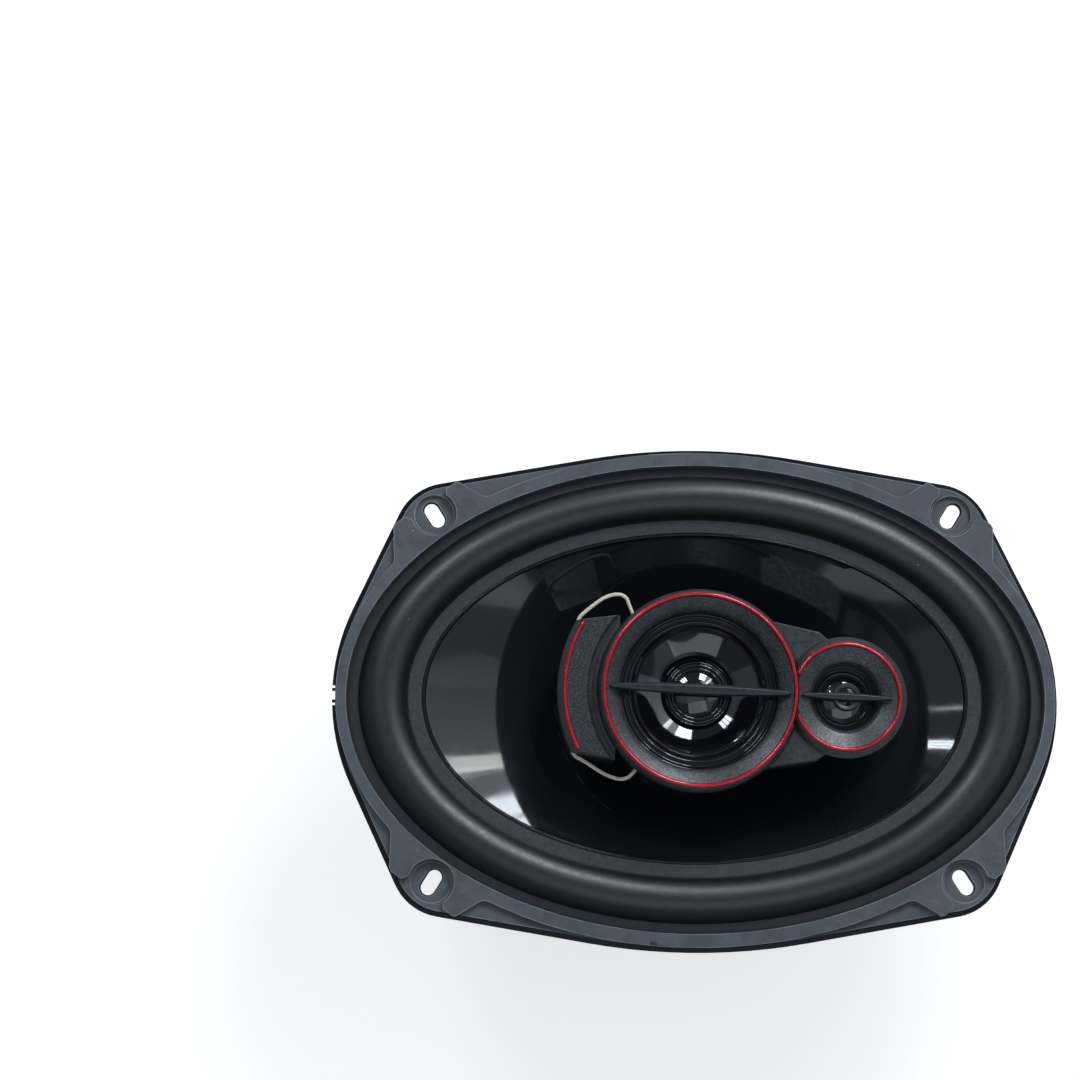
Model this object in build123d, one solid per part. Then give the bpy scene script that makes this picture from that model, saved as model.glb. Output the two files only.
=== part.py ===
from build123d import *
import math
import os

# Six-by-nine-inch three-way coaxial car speaker, lying face up on the back of its motor.
# Millimetres. +Z is the cone's axis and points out of the face. X is the long way of the oval.
# The origin is on that axis, on the motor's flat back.

# ---------------------------------------------------------------- driving dimensions
# heights of the main levels
MAGNET_BACK = 6.0          # front of the back plate
MAGNET_FRONT = 24.0
MOTOR_TOP = 30.0           # front of the front plate, where the basket stands
SPIDER_SHELF = 42.0
FLANGE_BACK = 80.0         # mounting plane
SHEET = 1.2                # basket steel
FLANGE_FRONT = FLANGE_BACK + SHEET
LIP = 0.8                  # surround's thickness
GASKET_LOW = 83.2          # gasket's lower step
GASKET_TOP = 85.0
NECK_Z = 51.0              # inside of the cone at its neck

# flange outline: two large arcs, two small arcs and straight flanks with rounded corners
FLANGE_HALF_X = 118.4
FLANGE_HALF_Y = 82.25
LONG_ARC_R = 205.0
LONG_ARC_HALF_DEG = 9.8
SHORT_ARC_R = 68.0
SHORT_ARC_HALF_DEG = 25.0
CORNER_R = 18.0

# ovals, as half axes
GASKET_OVAL = (113.6, 76.3)
RAISED_OVAL = (117.0, 80.6)
LIP_OVAL = (115.0, 77.7)
MOUTH_OVAL = (109.6, 73.0)
ROLL_OUTER = (109.8, 73.2)
ROLL_INNER = (93.6, 58.4)
CONE_FACE_OVAL = (88.6, 53.8)
NECK_R = 13.6

# fixing slots
SLOT_X = 85.5
SLOT_Y = 60.0
SLOT_R = 2.35
SLOT_LENGTH = 8.6
GASKET_SLOT_GROWTH = 0.45
SLOT_ANGLE = 58.0          # from the X axis, leaning to the middle of the oval
POCKET_R = 6.5

# woofer motor
PLATE_R = 43.0
MAGNET_R = 45.0
MAGNET_HOLE_R = 23.0
POLE_R = 12.5
GAP_R = 14.1
FORMER_R = 12.85
FORMER_OUT_R = 13.05
COIL_OUT_R = 13.65
POST_R = 5.0
SPIGOT_R = 3.5
SPIGOT_END = 9.0

# tweeter module, which sits turned a little on its post
MODULE_TURN = -2.6
HOUSING_FLOOR = 71.5
HOUSING_TOP = 96.5
COVER_TOP = 98.5
WALL = 1.6
MID_TOP = 103.0
MID_RIM_R = 32.4
MID_WALL_R = 31.4
MID_LEDGE = 93.3                   # shelf that carries the midrange frame
RIM_MEET_R = 31.3                  # where the tweeter's bezel meets the midrange's
MID_TRIM_R = (29.8, 31.1)
MID_MOUTH_R = 25.3
MID_BAR = (57.4, 3.5, 1.5)         # length, width in the middle, width at the ends
TWEETER_X = 46.8
TWEETER_TOP = 101.2
TWEETER_FLOOR = 78.5
TWEETER_RIM_R = 19.4
TWEETER_WALL_R = 17.4
TWEETER_TRIM_R = (16.2, 17.4)
TWEETER_MOUTH_R = 10.6
TWEETER_TRIM_GAP = 22.0            # half angle left open beside the midrange
TWEETER_BAR = (28.5, 2.5, 0.9)
MID_SURROUND_Z = 94.5
MID_FORMER_R = (9.65, 9.8)
TWEETER_FRAME_Z = 91.9
WING_FLOOR = 79.0
WING_R = (35.3, 43.5)           # the cover's inner and outer arcs
WING_WALL_R = 45.2
WING_TRIM_R = (42.2, 43.5)
WING_TRIM_HALF_DEG = 28.4
WING_PLAN = [(-26.0, 23.3), (-50.0, 19.5), (-50.0, -19.5), (-26.0, -23.3)]
BRIDGE_CORNERS = [(20.0, 23.9), (37.9, 20.6), (40.9, 18.2)]

# terminals and leads
TONGUE_X = -91.0
TONGUE_Z = 58.0                    # top of the basket's tongue
BOARD_RIVETS = [(-91.0, 0.0), (-99.0, 0.0)]
TAB_EYE_X = -89.5
TAB_END_X = -104.8
TAB_Y = (7.5, -7.5)
STAKES = [(20.5, 20.5), (-20.5, 20.5), (-20.5, -20.5), (20.5, -20.5)]
NOTCH_Y = 0.3
LEAD_R = 0.55
# from inside the wing, out over the gap and in under the midrange's rim
LEADS = [
    [(-39.7, 16.3, 91.4), (-40.2, 21.9, 90.8), (-36.0, 26.0, 90.4), (-30.3, 30.6, 90.6), (-24.3, 31.3, 90.7),
     (-22.3, 25.6, 90.1), (-19.3, 20.7, 89.7)],
    [(-38.6, -14.5, 92.6), (-41.0, -21.0, 92.0), (-34.6, -24.0, 91.2), (-29.2, -27.4, 90.6),
     (-22.3, -29.3, 90.3), (-18.4, -25.0, 90.0), (-15.8, -20.4, 89.8)],
]


os.makedirs("parts", exist_ok=True)


# ---------------------------------------------------------------- small helpers
def ring(r_out, z0, z1, r_in=0.0, at=(0.0, 0.0)):
    """A disc or washer between two heights."""
    face = Circle(r_out) if r_in == 0 else Circle(r_out) - Circle(r_in)
    return extrude(Pos(at[0], at[1], z0) * face, z1 - z0)


def turned(profile, at=(0.0, 0.0)):
    """A closed (radius, height) profile turned about a vertical axis."""
    face = make_face(Plane.XZ * Polyline(*profile, close=True))
    return Pos(at[0], at[1], 0) * revolve(face, Axis.Z)


def oval_slab(oval, z0, z1):
    return extrude(Pos(0, 0, z0) * Ellipse(*oval), z1 - z0)


def oval_funnel(levels):
    """A solid through level ovals, each (half x, half y, height), straight between them."""
    return loft([Pos(0, 0, z) * Ellipse(a, b) for a, b, z in levels], ruled=True)


def four_ways(shape):
    """A shape and its mirror images in the X and Y axes' planes."""
    both = shape + mirror(shape, about=Plane.YZ)
    return both + mirror(both, about=Plane.XZ)


def lead(points, radius=LEAD_R):
    """A round wire along straight runs joined by the largest tangent arcs that they allow."""
    radii = []
    for before, here, after in zip(points, points[1:], points[2:]):
        a, b = Vector(*here) - Vector(*before), Vector(*after) - Vector(*here)
        radii.append(0.45 * min(a.length, b.length) / math.tan(math.radians(a.get_angle(b)) / 2))
    path = FilletPolyline(*points, radius=radii)
    wire = sweep(Plane(path @ 0, z_dir=path % 0) * Circle(radius), path)
    print(f"wire {path.length:.1f} mm, radii {[round(r, 1) for r in radii]},"
          f" volume share {wire.volume / (math.pi * radius**2 * path.length):.4f}")
    return wire


def fan(r_in, r_out, half_deg, middle_deg=0.0):
    """A flat annular sector about the module's midrange axis."""
    reach = r_out * 1.5
    a, b = math.radians(middle_deg - half_deg), math.radians(middle_deg + half_deg)
    mid = math.radians(middle_deg)
    wedge = make_face(Polyline((0, 0), (reach * math.cos(a), reach * math.sin(a)),
                               (reach * math.cos(mid) * 1.2, reach * math.sin(mid) * 1.2),
                               (reach * math.cos(b), reach * math.sin(b)), close=True))
    return (Circle(r_out) - Circle(r_in)) & wedge


def save(name, shape, module=False):
    """Writes one node. Module parts are drawn along X and turned with the module."""
    if module:
        shape = Rot(0, 0, MODULE_TURN) * shape
    pieces = shape.solids()
    export_step(pieces[0] if len(pieces) == 1 else Compound(children=pieces), f"parts/{name}.step")


# ---------------------------------------------------------------- flange outline and slots
def flange_outline(inset=0.0):
    """The flange's outline, or a line inside it."""
    long_half, short_half = math.radians(LONG_ARC_HALF_DEG), math.radians(SHORT_ARC_HALF_DEG)
    long_r, short_r = LONG_ARC_R - inset, SHORT_ARC_R - inset
    corner_r = CORNER_R - inset
    top = (0.0, FLANGE_HALF_Y - inset)
    side = (FLANGE_HALF_X - inset, 0.0)
    a = (long_r * math.sin(long_half), top[1] - long_r * (1 - math.cos(long_half)))
    b = (side[0] - short_r * (1 - math.cos(short_half)), short_r * math.sin(short_half))
    run = Vector(math.cos(long_half), -math.sin(long_half))
    fall = Vector(-math.sin(short_half), math.cos(short_half))
    cross = run.X * fall.Y - run.Y * fall.X
    reach = ((b[0] - a[0]) * fall.Y - (b[1] - a[1]) * fall.X) / cross
    corner = (a[0] + run.X * reach, a[1] + run.Y * reach)
    top_mid = (long_r * math.sin(long_half / 2), top[1] - long_r * (1 - math.cos(long_half / 2)))
    side_mid = (side[0] - short_r * (1 - math.cos(short_half / 2)), short_r * math.sin(short_half / 2))
    quarter = [
        Line((0, 0), top),
        ThreePointArc(top, top_mid, a),
        Line(a, corner),
        Line(corner, b),
        ThreePointArc(b, side_mid, side),
        Line(side, (0, 0)),
    ]
    face = make_face(quarter)
    bend = face.vertices().sort_by_distance((corner[0], corner[1], 0))[0]
    face = fillet(bend, corner_r)
    return four_ways(face).clean()


def slot_faces(growth=0.0):
    """The four slots, or the same grown all round."""
    slot = SlotOverall(SLOT_LENGTH + 2 * growth, 2 * (SLOT_R + growth), rotation=SLOT_ANGLE)
    return four_ways(Pos(SLOT_X, SLOT_Y) * slot)


OUTLINE = flange_outline()
SLOTS = slot_faces()


# ---------------------------------------------------------------- basket
def spoke_mask():
    """The eight spokes in plan."""
    bars = Rectangle(2 * FLANGE_HALF_X, 13.0)
    for angle, width in ((32.0, 9.0), (62.0, 8.0), (90.0, 9.0)):
        bar = Pos(FLANGE_HALF_X / 2, 0) * Rectangle(FLANGE_HALF_X, width)
        bars += four_ways(Rot(0, 0, angle) * bar)
    return bars


def basket():
    cup_r, shelf_r = 38.0, 51.0
    outside = oval_funnel([(cup_r + SHEET, cup_r + SHEET, MOTOR_TOP),
                           (cup_r + 3 + SHEET, cup_r + 3 + SHEET, SPIDER_SHELF)])
    outside += oval_funnel([(shelf_r + 1.6, shelf_r + 1.6, SPIDER_SHELF - SHEET),
                            (MOUTH_OVAL[0] + 1.2, MOUTH_OVAL[1] + 1.2, FLANGE_BACK - 5),
                            (MOUTH_OVAL[0] + 1.2, MOUTH_OVAL[1] + 1.2, FLANGE_FRONT)])
    outside += extrude(Pos(0, 0, FLANGE_BACK) * OUTLINE, SHEET)
    inside = oval_funnel([(cup_r, cup_r, MOTOR_TOP + SHEET), (cup_r + 3, cup_r + 3, SPIDER_SHELF)])
    inside += oval_funnel([(shelf_r, shelf_r, SPIDER_SHELF), (*MOUTH_OVAL, FLANGE_BACK - 4),
                           (*MOUTH_OVAL, FLANGE_FRONT + 1)])
    inside += ring(20.0, MOTOR_TOP - 1, MOTOR_TOP + 2)
    body = outside - inside

    windows = Ellipse(99.0, 66.0) - Ellipse(66.0, 55.0) - spoke_mask()
    for opening in windows.faces():
        softened = fillet(opening.vertices(), 2.2)
        body -= extrude(Pos(0, 0, SPIDER_SHELF + 2) * softened, FLANGE_BACK - SPIDER_SHELF - 7)
    body -= extrude(Pos(0, 0, FLANGE_BACK - 1) * SLOTS, SHEET + 2)
    # tongue for the terminal board, standing out of the spoke at -X
    keep_out = oval_funnel([(shelf_r + 0.6, shelf_r + 0.6, SPIDER_SHELF - SHEET),
                            (MOUTH_OVAL[0] + 0.6, MOUTH_OVAL[1] + 0.6, FLANGE_BACK - 5)])
    body += Pos(TONGUE_X, 0, TONGUE_Z - SHEET / 2) * Box(24.0, 12.0, SHEET) - keep_out
    for hole in BOARD_RIVETS:
        body -= ring(1.25, TONGUE_Z - 3, TONGUE_Z + 1, at=hole)
    for x, y in STAKES:
        body -= ring(2.0, MOTOR_TOP - 1, MOTOR_TOP + 2, at=(x, y))
    # notch with two small ears at the flange's -X end
    body -= Pos(-FLANGE_HALF_X, NOTCH_Y, FLANGE_BACK + SHEET / 2) * Box(2.0, 6.4, SHEET * 3)
    for y in (NOTCH_Y - 1.9, NOTCH_Y + 1.9):
        body += Pos(-FLANGE_HALF_X + 0.9, y, FLANGE_BACK + SHEET / 2) * Box(1.8, 1.0, SHEET)
    return body


def on_oval(vertex, oval):
    return abs((vertex.X / oval[0]) ** 2 + (vertex.Y / oval[1]) ** 2 - 1) < 1e-4


def gasket():
    """Rubber ring in two steps: a low one to the flange's edge, and a raised oval with horns by each slot."""
    horn_plan = [(98.2, 38.0), (98.9, 56.2), (95.0, 58.9), (88.0, 56.0), (81.0, 62.0), (81.7, 68.4),
                 (77.9, 70.9), (71.6, 67.1), (63.0, 61.9), (66.0, 50.0)]
    horns = make_face(Polyline(*horn_plan, close=True))
    horns = fillet(horns.vertices(), 0.9)
    raised = Ellipse(*RAISED_OVAL) + four_ways(horns)
    inner_corners = [v for v in raised.vertices() if on_oval(v, RAISED_OVAL) and abs(v.X) > 50]
    raised = fillet(inner_corners, 4.0) & flange_outline(0.7)
    raised -= four_ways(Pos(SLOT_X, SLOT_Y) * Circle(POCKET_R + 0.9))
    low = flange_outline(1.8) + raised
    body = extrude(Pos(0, 0, FLANGE_FRONT) * low, GASKET_LOW - FLANGE_FRONT)
    body += extrude(Pos(0, 0, GASKET_LOW) * raised, GASKET_TOP - GASKET_LOW)
    body -= oval_slab(GASKET_OVAL, FLANGE_FRONT - 1, GASKET_TOP + 1)
    body -= oval_slab(LIP_OVAL, FLANGE_FRONT - 1, FLANGE_FRONT + LIP)
    pocket = extrude(Pos(SLOT_X, SLOT_Y, FLANGE_FRONT + 0.8) * Circle(POCKET_R), 5)
    body -= four_ways(pocket)
    body -= extrude(Pos(0, 0, FLANGE_FRONT - 1) * slot_faces(GASKET_SLOT_GROWTH), 5)
    return body


# ---------------------------------------------------------------- woofer motor
def yoke():
    body = turned([(0, 0), (PLATE_R - 2, 0), (PLATE_R, 2), (PLATE_R, MAGNET_BACK), (POLE_R + 3, MAGNET_BACK),
                   (POLE_R, MAGNET_BACK + 3), (POLE_R, MOTOR_TOP - 0.3), (POLE_R - 0.8, MOTOR_TOP + 0.5),
                   (0, MOTOR_TOP + 0.5)])
    body -= ring(8.0, -1, 3.5)
    body -= ring(2.2, 3, 10)
    return body - ring(SPIGOT_R, SPIGOT_END, MOTOR_TOP + 1)


def magnet():
    return turned([(MAGNET_HOLE_R, MAGNET_BACK), (MAGNET_R - 1, MAGNET_BACK), (MAGNET_R, MAGNET_BACK + 1),
                   (MAGNET_R, MAGNET_FRONT - 1), (MAGNET_R - 1, MAGNET_FRONT), (MAGNET_HOLE_R, MAGNET_FRONT)])


def top_plate():
    body = turned([(GAP_R, MAGNET_FRONT), (PLATE_R, MAGNET_FRONT), (PLATE_R, MOTOR_TOP - 1),
                   (PLATE_R - 1, MOTOR_TOP), (GAP_R, MOTOR_TOP)])
    for x, y in STAKES:
        body -= ring(2.0, MOTOR_TOP - 2.5, MOTOR_TOP + 1, at=(x, y))
    return body


def stakes():
    """The pegs that fix the basket's floor to the front plate."""
    top = MOTOR_TOP + SHEET
    peg = turned([(0, MOTOR_TOP - 2.5), (1.98, MOTOR_TOP - 2.5), (1.98, top), (3.1, top), (2.7, top + 0.7),
                  (1.2, top + 1.0), (0, top + 1.0)])
    return Compound(children=[Pos(x, y, 0) * peg for x, y in STAKES])


def centre_post():
    """Aluminium post: a spigot down the pole, a waist and a pilot in the module's floor."""
    end, top = SPIGOT_END, HOUSING_FLOOR + WALL
    spigot_r, foot_r, head_r = SPIGOT_R - 0.03, 8.0, 7.5
    body = turned([(0, end), (spigot_r, end), (spigot_r, MOTOR_TOP + 0.5), (foot_r, MOTOR_TOP + 0.5),
                   (foot_r, MOTOR_TOP + 3), (POST_R, MOTOR_TOP + 5), (POST_R, HOUSING_FLOOR - 6),
                   (head_r, HOUSING_FLOOR - 4), (head_r, HOUSING_FLOOR), (3.5, HOUSING_FLOOR),
                   (3.5, top), (0, top)])
    body -= ring(2.0, end - 1, end + 13)
    return body - ring(1.5, top - 10, top + 1)


def pan_screw(head_r, head_h, shank_r, length, z, down, at=(0.0, 0.0)):
    """A pan-head screw with its seat at height z. down says that the shank points to -Z."""
    s = -1 if down else 1
    body = turned([(0, z - s * head_h), (head_r * 0.6, z - s * head_h), (head_r, z - s * head_h * 0.45),
                   (head_r, z), (shank_r, z), (shank_r, z + s * (length - shank_r)),
                   (shank_r * 0.4, z + s * length), (0, z + s * length)], at)
    cross = Box(head_r * 1.1, head_r * 0.28, head_h) + Box(head_r * 0.28, head_r * 1.1, head_h)
    return body - Pos(at[0], at[1], z - s * head_h) * cross


# ---------------------------------------------------------------- woofer's moving parts
def spider():
    """Corrugated cloth disc between the shelf and the former."""
    thick, waves, r0, r1 = 0.5, 5, 17.0, 39.5
    middle = [(FORMER_OUT_R, 0.0), (r0, 0.0)]
    for i in range(1, waves * 4, 2):
        t = i / (waves * 4)
        middle.append((r0 + (r1 - r0) * t, 1.4 * math.sin(2 * math.pi * waves * t)))
    middle += [(r1, 0.0), (50.0, 0.0)]
    lower = [(r, SPIDER_SHELF + z) for r, z in middle]
    upper = [(r, SPIDER_SHELF + z + thick) for r, z in reversed(middle)]
    return turned(lower + upper)


def cone():
    """Glossy moulded cone, round at the neck and oval at the rim, with a flat rim for the surround."""
    skin = 0.9
    outside = oval_funnel([(NECK_R + 0.5, NECK_R + 0.5, NECK_Z - skin),
                           (CONE_FACE_OVAL[0] + 1.2, CONE_FACE_OVAL[1] + 1.2, FLANGE_FRONT - 0.2)])
    outside += oval_slab((ROLL_INNER[0] - 0.2, ROLL_INNER[1] - 0.2), FLANGE_FRONT - 1, FLANGE_FRONT)
    outside += ring(FORMER_OUT_R + 0.9, NECK_Z - 2.2, NECK_Z + 0.3)
    inside = oval_funnel([(NECK_R, NECK_R, NECK_Z), (*CONE_FACE_OVAL, FLANGE_FRONT)])
    inside += oval_slab(CONE_FACE_OVAL, FLANGE_FRONT, FLANGE_FRONT + 1)
    return outside - inside - ring(FORMER_OUT_R, NECK_Z - 3, NECK_Z + 3)


def between(share):
    """The oval that lies the given share of the way in over the roll."""
    return tuple(o + (i - o) * share for o, i in zip(ROLL_OUTER, ROLL_INNER))


def roll(height, margin):
    """The solid hill under a half round roll on the surround's lip."""
    steps = 5
    turns = [math.pi * i / (2 * steps) for i in range(steps + 1)]
    base = FLANGE_FRONT
    steps_in = [margin + (0.5 - margin) * (1 - math.cos(t)) for t in turns]
    levels = [base + height * math.sin(t) for t in turns]
    rise = [(*between(share), level) for share, level in zip(steps_in, levels)]
    fall = [(*between(1 - share), level) for share, level in zip(steps_in, levels)]
    return oval_funnel(rise) - oval_funnel(fall)


def surround():
    """Rubber half roll with a flat lip on either side."""
    outer_lip = oval_slab(LIP_OVAL, FLANGE_FRONT, FLANGE_FRONT + LIP) - oval_slab(between(0.03), 80, 90)
    inner_lip = oval_slab(between(0.97), FLANGE_FRONT, FLANGE_FRONT + LIP)
    inner_lip -= oval_slab((CONE_FACE_OVAL[0] + 0.4, CONE_FACE_OVAL[1] + 0.4), 80, 90)
    edge = LIP / (ROLL_OUTER[0] - ROLL_INNER[0])
    return outer_lip + inner_lip + (roll(6.3, 0.0) - roll(6.3 - LIP, edge))


# ---------------------------------------------------------------- terminals
def terminal_board():
    board = Pos(TONGUE_X - 4, 0, TONGUE_Z + 0.8) * Box(18.0, 23.0, 1.6)
    board = fillet(board.edges().filter_by(Axis.Z), 1.5)
    for hole in BOARD_RIVETS:
        board -= ring(1.25, TONGUE_Z - 1, TONGUE_Z + 3, at=hole)
    for y in TAB_Y:
        board -= ring(1.0, TONGUE_Z - 1, TONGUE_Z + 3, at=(TAB_EYE_X, y))
    return board


def board_rivets():
    low, high = TONGUE_Z - SHEET, TONGUE_Z + 1.6
    peg = turned([(0, low - 0.6), (1.7, low - 0.6), (2.1, low), (1.22, low), (1.22, high), (2.3, high),
                  (1.8, high + 0.8), (0, high + 0.8)])
    return Compound(children=[Pos(x, y, 0) * peg for x, y in BOARD_RIVETS])


def terminal_tab(y, blade_width):
    """Tinned tab: a foot on the board with a soldering eye, and a blade bent down past the board's end."""
    top = TONGUE_Z + 1.6
    length = TAB_EYE_X - TAB_END_X
    foot = Pos(TAB_EYE_X - length / 2, y, top + 0.4) * Box(length + 0.8, 4.0, 0.8)
    blade = Pos(TAB_END_X, y, top + 0.8 - 7.0) * Box(0.8, blade_width, 14.0)
    blade = chamfer(blade.edges().filter_by(Axis.X).group_by(Axis.Z)[0], 0.9)
    body = foot + blade + ring(2.6, top, top + 0.8, at=(TAB_EYE_X, y))
    body -= Pos(TAB_END_X, y, top - 9.0) * Rot(0, 90, 0) * Cylinder(0.7, 4)
    return body + ring(0.97, TONGUE_Z + 0.2, top + 1.2, at=(TAB_EYE_X, y))


# ---------------------------------------------------------------- tweeter module: housing and covers
def wing_plan(r_in=30.5, r_out=WING_WALL_R):
    return fan(r_in, r_out, 45, 180) & make_face(Polyline(*WING_PLAN, close=True))


def bridge_plan():
    down = [(x, -y) for x, y in reversed(BRIDGE_CORNERS)]
    return make_face(Polyline(*BRIDGE_CORNERS, *down, close=True))


def module_housing():
    """One black moulding: midrange bowl, tweeter cup, bridge between them and wing."""
    bowl_out = [(0, HOUSING_FLOOR), (14.0, HOUSING_FLOOR), (24.0, HOUSING_FLOOR + 3), (MID_WALL_R, 84.0),
                (MID_WALL_R, HOUSING_TOP), (0, HOUSING_TOP)]
    bowl_in = [(0, HOUSING_FLOOR + WALL), (13.4, HOUSING_FLOOR + WALL), (23.0, HOUSING_FLOOR + 3 + WALL),
               (28.2, 84.0), (28.2, MID_LEDGE), (29.8, MID_LEDGE), (29.8, HOUSING_TOP + 1),
               (0, HOUSING_TOP + 1)]
    cup_out = [(0, TWEETER_FLOOR), (TWEETER_WALL_R - 4, TWEETER_FLOOR), (TWEETER_WALL_R, TWEETER_FLOOR + 4),
               (TWEETER_WALL_R, HOUSING_TOP), (0, HOUSING_TOP)]
    cup_in = [(0, TWEETER_FLOOR + WALL), (TWEETER_WALL_R - 5, TWEETER_FLOOR + WALL),
              (TWEETER_WALL_R - WALL, TWEETER_FLOOR + 5), (TWEETER_WALL_R - WALL, HOUSING_TOP + 1),
              (0, HOUSING_TOP + 1)]
    at = (TWEETER_X, 0.0)
    arm = extrude(Pos(0, 0, 84.0) * bridge_plan(), HOUSING_TOP - 84.0)
    arm -= extrude(Pos(0, 0, 84.0 + WALL) * offset(bridge_plan(), -WALL), HOUSING_TOP)
    wing = extrude(Pos(0, 0, WING_FLOOR) * wing_plan(), HOUSING_TOP - WING_FLOOR)
    # the outer wall rises beside the cover and slopes down outwards
    beside, crest = WING_R[1] + 0.05, COVER_TOP - 0.4
    slope = turned([(beside, HOUSING_TOP - 1), (WING_WALL_R, HOUSING_TOP - 1), (WING_WALL_R, HOUSING_TOP),
                    (beside + 0.3, crest), (beside, crest)])
    wing += slope & extrude(Pos(0, 0, HOUSING_TOP - 2) * wing_plan(), 6)
    wing -= extrude(Pos(0, 0, WING_FLOOR + WALL) * offset(wing_plan(34.2), -WALL), HOUSING_TOP)
    # rib that borders the wing's dark groove
    wing += extrude(Pos(0, 0, HOUSING_TOP) * (wing_plan() & (Circle(33.6) - Circle(32.6))), 1.5)
    bowl, cup = turned(bowl_out), turned(cup_out, at)
    body = arm + wing + bowl + cup - turned(bowl_in) - turned(cup_in, at)
    for path in LEADS:
        body -= lead(path, LEAD_R + 0.15)
    return body - ring(3.53, HOUSING_FLOOR - 1, HOUSING_FLOOR + 3)


def wing_cover():
    body = extrude(Pos(0, 0, HOUSING_TOP) * wing_plan(*WING_R), COVER_TOP - HOUSING_TOP)
    body = chamfer(body.edges().group_by(Axis.Z)[-1], 0.5)
    return body - extrude(Pos(0, 0, COVER_TOP - 0.6) * wing_arc(), 2)


def wing_arc():
    arc = fan(*WING_TRIM_R, WING_TRIM_HALF_DEG, 180)
    return fillet(arc.vertices(), 0.6)


def wing_trim():
    body = extrude(Pos(0, 0, COVER_TOP - 0.6) * wing_arc(), 1.0)
    return fillet(body.edges().group_by(Axis.Z)[-1], 0.3)


def bezel(at, rim_r, trim, mouth_r, top, skirt_z, skirt_r):
    """A shallow funnel round a driver, with a groove for its red ring and a skirt down to the driver."""
    return turned([(mouth_r, skirt_z), (skirt_r, skirt_z), (skirt_r, HOUSING_TOP), (rim_r, HOUSING_TOP),
                   (rim_r, top - 2.6), (trim[1] + 0.3, top - 0.4), (trim[1], top - 0.4),
                   (trim[1], top - 1.2), (trim[0], top - 1.2),
                   (trim[0], top - 0.6), (mouth_r + 1.2, top - 2.2), (mouth_r, top - 3.4)], at)


def mid_bezel():
    body = bezel((0.0, 0.0), MID_RIM_R, MID_TRIM_R, MID_MOUTH_R, MID_TOP, MID_SURROUND_Z + 0.2, 29.6)
    bite = ring(TWEETER_RIM_R + 0.1, HOUSING_TOP, MID_TOP + 1, at=(TWEETER_X, 0.0))
    bite -= ring(RIM_MEET_R, 90, 110)
    return body - bite


def tweeter_bezel():
    """The tweeter's funnel together with the bridge's flat wedges."""
    at = (TWEETER_X, 0.0)
    wedges = extrude(Pos(0, 0, HOUSING_TOP) * bridge_plan(), COVER_TOP - HOUSING_TOP)
    wedges = chamfer(wedges.edges().group_by(Axis.Z)[-1], 0.4)
    wedges -= ring(TWEETER_RIM_R - 1, 90, 110, at=at)
    funnel = bezel(at, TWEETER_RIM_R, TWEETER_TRIM_R, TWEETER_MOUTH_R, TWEETER_TOP, TWEETER_FRAME_Z + 0.2,
                   TWEETER_WALL_R - WALL - 0.1)
    wedges -= ring(MID_RIM_R + 0.05, 90, 110)
    return wedges + (funnel - ring(RIM_MEET_R + 0.05, HOUSING_TOP - 0.5, 110))


def trim_ring(trim, top, at=(0.0, 0.0)):
    return turned([(trim[0], top - 1.2), (trim[1], top - 1.2), (trim[1], top - 0.25), (trim[1] - 0.3, top),
                   (trim[0] + 0.3, top), (trim[0], top - 0.25)], at)


def tweeter_trim():
    """The tweeter's red ring, open beside the midrange."""
    body = trim_ring(TWEETER_TRIM_R, TWEETER_TOP, (TWEETER_X, 0.0))
    gap = Pos(TWEETER_X, 0, TWEETER_TOP - 2) * fan(5.0, 25.0, TWEETER_TRIM_GAP, 180)
    return body - extrude(gap, 4)


def cross_bar(size, centre_x, z0, z1):
    """The lens-shaped bar across a driver's mouth."""
    length, width, end = size
    high = ThreePointArc((-length / 2, end / 2), (0, width / 2), (length / 2, end / 2))
    low = ThreePointArc((length / 2, -end / 2), (0, -width / 2), (-length / 2, -end / 2))
    plan = make_face([high, Line(high @ 1, low @ 0), low, Line(low @ 1, high @ 0)])
    body = extrude(Pos(centre_x, 0, z0) * plan, z1 - z0)
    return chamfer(body.edges().group_by(Axis.Z)[-1], 0.3)


def capacitors():
    """The two crossover capacitors lying in the wing."""
    can = turned([(0, -6.5), (2.7, -6.5), (3.2, -6.0), (3.2, 4.4), (2.8, 4.9), (3.2, 5.4), (3.2, 6.1),
                  (2.8, 6.5), (0, 6.5)])
    lying = Pos(-39.5, 0, WING_FLOOR + WALL + 3.2) * Rot(90, 0, 0) * can
    return Compound(children=[Rot(0, 0, turn) * lying for turn in (-12.5, 12.5)])


# ---------------------------------------------------------------- midrange driver
def mid_yoke():
    return turned([(0, 76.3), (12.4, 76.3), (12.9, 76.8), (12.9, 84.0), (10.9, 84.0), (10.9, 77.8),
                   (0, 77.8)])


def mid_frame():
    z = MID_LEDGE
    return turned([(12.0, 84.0), (22.0, 84.0), (27.6, z), (29.6, z), (29.6, MID_SURROUND_Z),
                   (25.4, MID_SURROUND_Z), (21.3, 85.2), (12.0, 85.2)])


def mid_surround():
    """Two fine ridges round the midrange cone."""
    lower = [(21.7, 0), (22.4, 0.7), (23.2, 0), (24.0, 0.7), (24.8, 0), (26.5, 0)]
    return turned([(r, MID_SURROUND_Z + z) for r, z in lower]
                  + [(r, MID_SURROUND_Z + z + 0.2) for r, z in reversed(lower)])


def mid_cone():
    skin = 0.4
    return turned([(MID_FORMER_R[1], 87.4), (10.9, 87.4), (16.7, 89.6), (22.0, 93.9), (22.0, MID_SURROUND_Z),
                   (21.5, MID_SURROUND_Z), (16.5, 89.6 + skin), (10.9, 87.4 + skin),
                   (MID_FORMER_R[1], 87.4 + skin)])


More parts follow.
